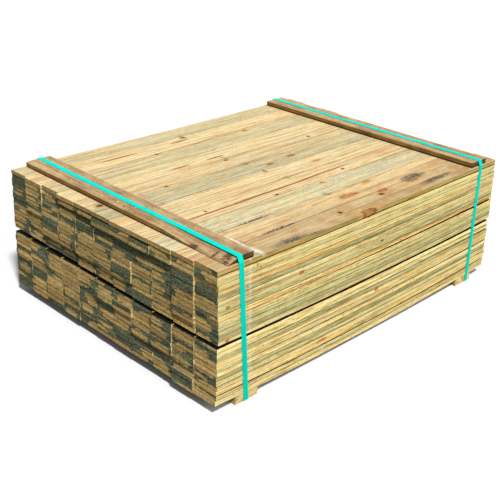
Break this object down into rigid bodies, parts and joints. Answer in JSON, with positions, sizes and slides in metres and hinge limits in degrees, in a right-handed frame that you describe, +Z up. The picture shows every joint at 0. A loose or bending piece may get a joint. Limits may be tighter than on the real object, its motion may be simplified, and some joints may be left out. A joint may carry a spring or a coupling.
{
  "type": "bundle of fence palings",
  "caption": "Strapped bundle of rough-sawn treated pine fence palings, stacked flat in two tiers on bearers, with battens across the top under plastic straps.",
  "frame": {"origin": "on the ground, below the middle of the bundle", "axes": "+X along the palings, +Y across the bundle, +Z up"},
  "size_m": [1.5202, 1.1224, 0.5205],
  "materials": {
    "paling_timber": "rough-sawn pine with green preservative treatment",
    "batten_timber": "weathered rough-sawn board",
    "bearer_timber": "rough-sawn pine",
    "strap_plastic": "embossed polyester strapping"
  },
  "bodies": {
    "root": {"upper_course_01": "paling_timber", "upper_course_02": "paling_timber", "upper_course_03": "paling_timber", "upper_course_04": "paling_timber", "upper_course_05": "paling_timber", "upper_course_06": "paling_timber", "upper_course_07": "paling_timber", "upper_course_08": "paling_timber", "upper_course_09": "paling_timber", "upper_course_10": "paling_timber", "upper_course_11": "paling_timber", "upper_course_12": "paling_timber", "upper_course_13": "paling_timber", "upper_course_14": "paling_timber", "upper_course_15": "paling_timber", "lower_course_01": "paling_timber", "lower_course_02": "paling_timber", "lower_course_03": "paling_timber", "lower_course_04": "paling_timber", "lower_course_05": "paling_timber", "lower_course_06": "paling_timber", "lower_course_07": "paling_timber", "lower_course_08": "paling_timber", "lower_course_09": "paling_timber", "lower_course_10": "paling_timber", "lower_course_11": "paling_timber", "lower_course_12": "paling_timber", "top_batten_front": "batten_timber", "top_batten_back": "batten_timber", "bearer_front": "bearer_timber", "bearer_back": "bearer_timber", "tier_spacer_front": "bearer_timber", "tier_spacer_back": "bearer_timber", "strap_front": "strap_plastic", "strap_back": "strap_plastic"}
  },
  "joints": []
}
